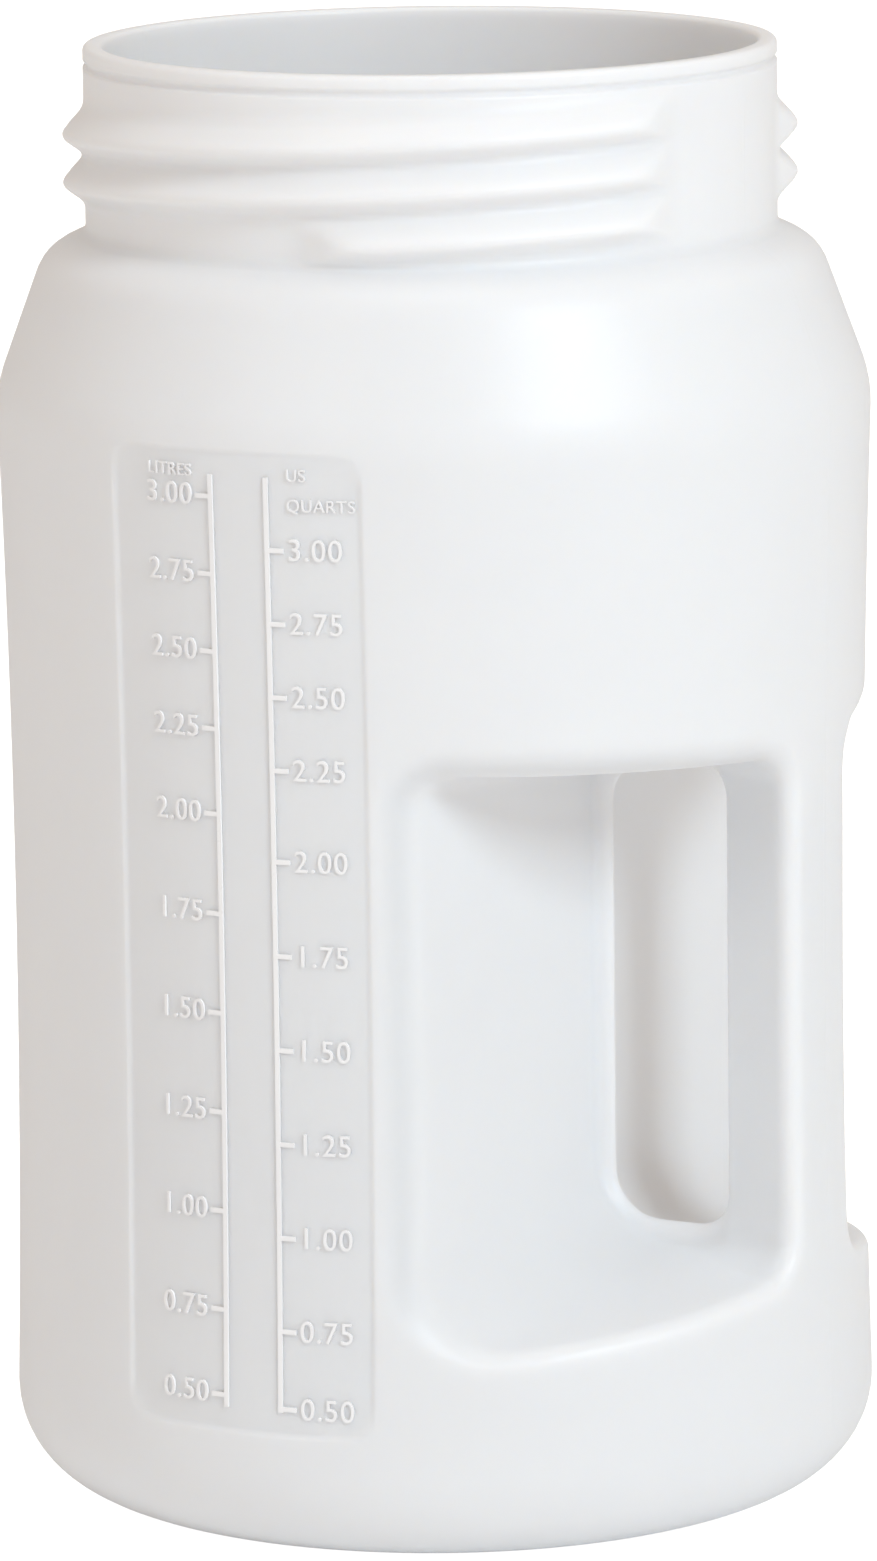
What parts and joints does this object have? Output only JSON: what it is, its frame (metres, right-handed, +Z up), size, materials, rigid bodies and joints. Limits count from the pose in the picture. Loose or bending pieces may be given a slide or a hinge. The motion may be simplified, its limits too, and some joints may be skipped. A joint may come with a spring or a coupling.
{
  "type": "graduated wide-mouth container",
  "caption": "Wide-mouth translucent plastic container with a coarse outside neck thread, a moulded-in side grip and a recessed volume scale.",
  "frame": {"origin": "centre of the base, on the surface the container stands on", "axes": "+Z up through the mouth, +X towards the grip, -Y towards the volume scale; the mould parts on the plane Y = 0"},
  "size_m": [0.1556, 0.1556, 0.259],
  "materials": {
    "natural_polyethylene": "satin, milky translucent, as moulded"
  },
  "bodies": {
    "root": {"mouth_rim": "natural_polyethylene", "neck_wall": "natural_polyethylene", "neck_thread": "natural_polyethylene", "shoulder": "natural_polyethylene", "upper_wall": "natural_polyethylene", "sight_panel": "natural_polyethylene", "side_wall": "natural_polyethylene", "grip_roof": "natural_polyethylene", "pocket_wall": "natural_polyethylene", "grip_bar": "natural_polyethylene", "grip_floor": "natural_polyethylene", "lower_wall": "natural_polyethylene", "base": "natural_polyethylene", "volume_scale": "natural_polyethylene"}
  },
  "joints": []
}
